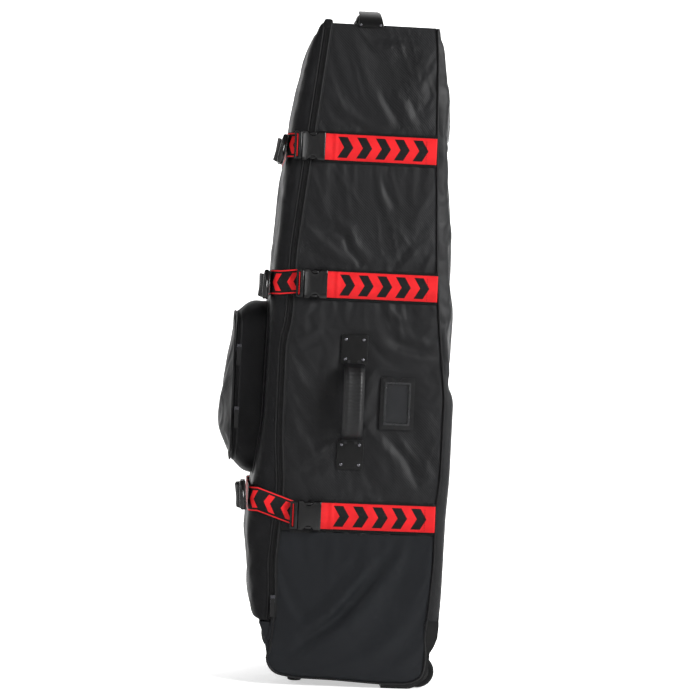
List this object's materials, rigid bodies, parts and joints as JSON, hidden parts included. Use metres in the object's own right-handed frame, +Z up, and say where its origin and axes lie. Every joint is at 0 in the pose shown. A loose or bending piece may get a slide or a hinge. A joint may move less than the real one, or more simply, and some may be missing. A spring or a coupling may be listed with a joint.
{
  "type": "wheeled travel bag",
  "caption": "Tall wheeled soft travel bag that opens like a book, with a front pocket, compression straps with side-release buckles, grab handles and a moulded wheel tray.",
  "frame": {"origin": "centre of the whole object's box at the height of the surface it stands on", "axes": "+Z up, +X towards the back and the wheels, -Y towards the side that carries the buckles and the side handle"},
  "size_m": [0.445, 0.3424, 1.298],
  "materials": {
    "body_cloth": "charcoal-black ribbed nylon, slight sheen",
    "slate_tarpaulin": "smooth slate-grey coated tarpaulin",
    "stiffener_board": "black polyethylene board",
    "tray_plastic": "black moulded plastic, fine texture",
    "hub_plastic": "black plastic hub",
    "tyre_rubber": "black rubber tread",
    "foot_rubber": "black rubber",
    "axle_steel": "plain steel pin",
    "strap_webbing": "red 50 mm webbing with a black geometric pattern",
    "strap_webbing_reverse": "black reverse face with red border lines",
    "buckle_plastic": "black moulded acetal, slight gloss",
    "handle_leather": "black coated leather patches, riveted",
    "grip_fabric": "black padded grip with two ridges",
    "window_frame": "black flexible vinyl frame",
    "window_clear": "clear flexible vinyl",
    "zip_metal": "gunmetal zip hardware"
  },
  "bodies": {
    "shell": {"side_panel_near": "body_cloth", "side_panel_near_lower": "slate_tarpaulin", "side_panel_far": "body_cloth", "side_panel_far_lower": "slate_tarpaulin", "back_panel": "body_cloth", "back_board": "stiffener_board", "top_panel": "body_cloth", "base_panel": "slate_tarpaulin", "wheel_tray": "tray_plastic", "corner_guard_near": "tray_plastic", "corner_guard_far": "tray_plastic", "axle_near": "axle_steel", "axle_far": "axle_steel", "foot_near": "foot_rubber", "foot_far": "foot_rubber", "strap_1_near": "strap_webbing", "strap_2_near": "strap_webbing", "strap_3_near": "strap_webbing", "strap_1_far": "strap_webbing_reverse", "strap_2_far": "strap_webbing_reverse", "strap_3_far": "strap_webbing_reverse", "buckle_1_female": "buckle_plastic", "buckle_2_female": "buckle_plastic", "buckle_3_female": "buckle_plastic", "side_handle_pad_upper": "handle_leather", "side_handle_pad_lower": "handle_leather", "side_handle_grip": "grip_fabric", "top_handle_pad_near": "handle_leather", "top_handle_pad_far": "handle_leather", "top_handle_grip": "grip_fabric", "id_window": "window_clear", "id_frame": "window_frame"},
    "wheel_near": {"tyre_near": "tyre_rubber", "hub_near": "hub_plastic"},
    "wheel_far": {"tyre_far": "tyre_rubber", "hub_far": "hub_plastic"},
    "lid": {"lid_gusset_near": "body_cloth", "lid_gusset_far": "body_cloth", "lid_front": "body_cloth", "lid_gusset_bottom": "body_cloth", "pocket_wall_near": "body_cloth", "pocket_wall_far": "body_cloth", "pocket_wall_top": "body_cloth", "pocket_wall_bottom": "body_cloth"},
    "pocket_door": {"pocket_door": "body_cloth"},
    "strap_1": {"buckle_1_male": "buckle_plastic", "strap_1_front": "strap_webbing_reverse", "strap_1_adjuster": "buckle_plastic"},
    "strap_2": {"buckle_2_male": "buckle_plastic", "strap_2_front": "strap_webbing_reverse", "strap_2_adjuster": "buckle_plastic"},
    "strap_3": {"buckle_3_male": "buckle_plastic", "strap_3_front": "strap_webbing_reverse", "strap_3_adjuster": "buckle_plastic"},
    "main_slider": {"main_zip_slider": "zip_metal"},
    "main_puller": {"main_zip_puller": "zip_metal"},
    "pocket_slider_upper": {"pocket_zip_upper_slider": "zip_metal"},
    "pocket_puller_upper": {"pocket_zip_upper_puller": "zip_metal"},
    "pocket_slider_lower": {"pocket_zip_lower_slider": "zip_metal"},
    "pocket_puller_lower": {"pocket_zip_lower_puller": "zip_metal"}
  },
  "joints": [
    {"name": "wheel_near_spin", "type": "hinge", "parent": "shell", "child": "wheel_near", "pos_m": [0.1785, -0.1061, 0.033], "axis": [0, 1, 0], "continuous": true},
    {"name": "wheel_far_spin", "type": "hinge", "parent": "shell", "child": "wheel_far", "pos_m": [0.1785, 0.1429, 0.033], "axis": [0, 1, 0], "continuous": true},
    {"name": "lid_open", "type": "hinge", "parent": "shell", "child": "lid", "pos_m": [-0.0675, 0.1684, 0.6], "axis": [0, 0, -1], "range_deg": [0, 105]},
    {"name": "pocket_open", "type": "hinge", "parent": "lid", "child": "pocket_door", "pos_m": [-0.1961, 0.1284, 0.56], "axis": [0, 0, -1], "range_deg": [0, 100]},
    {"name": "strap_1_release", "type": "slide", "parent": "lid", "child": "strap_1", "axis": [-1, 0, 0], "range_m": [0, 0.035]},
    {"name": "strap_2_release", "type": "slide", "parent": "lid", "child": "strap_2", "axis": [-1, 0, 0], "range_m": [0, 0.035]},
    {"name": "strap_3_release", "type": "slide", "parent": "lid", "child": "strap_3", "axis": [-1, 0, 0], "range_m": [0, 0.035]},
    {"name": "main_zip_slide", "type": "slide", "parent": "shell", "child": "main_slider", "axis": [0, 0, 1], "range_m": [0, 0.1]},
    {"name": "main_puller_swing", "type": "hinge", "parent": "main_slider", "child": "main_puller", "pos_m": [-0.107, -0.1377, 0.165], "axis": [-1, 0, 0], "range_deg": [0, 150]},
    {"name": "pocket_upper_zip_slide", "type": "slide", "parent": "lid", "child": "pocket_slider_upper", "axis": [0, 0, 1], "range_m": [-0.04, 0.04]},
    {"name": "pocket_upper_puller_swing", "type": "hinge", "parent": "pocket_slider_upper", "child": "pocket_puller_upper", "pos_m": [-0.1905, -0.0977, 0.64], "axis": [-1, 0, 0], "range_deg": [0, 150]},
    {"name": "pocket_lower_zip_slide", "type": "slide", "parent": "lid", "child": "pocket_slider_lower", "axis": [0, 0, 1], "range_m": [-0.04, 0.04]},
    {"name": "pocket_lower_puller_swing", "type": "hinge", "parent": "pocket_slider_lower", "child": "pocket_puller_lower", "pos_m": [-0.1905, -0.0977, 0.52], "axis": [-1, 0, 0], "range_deg": [0, 150]}
  ]
}
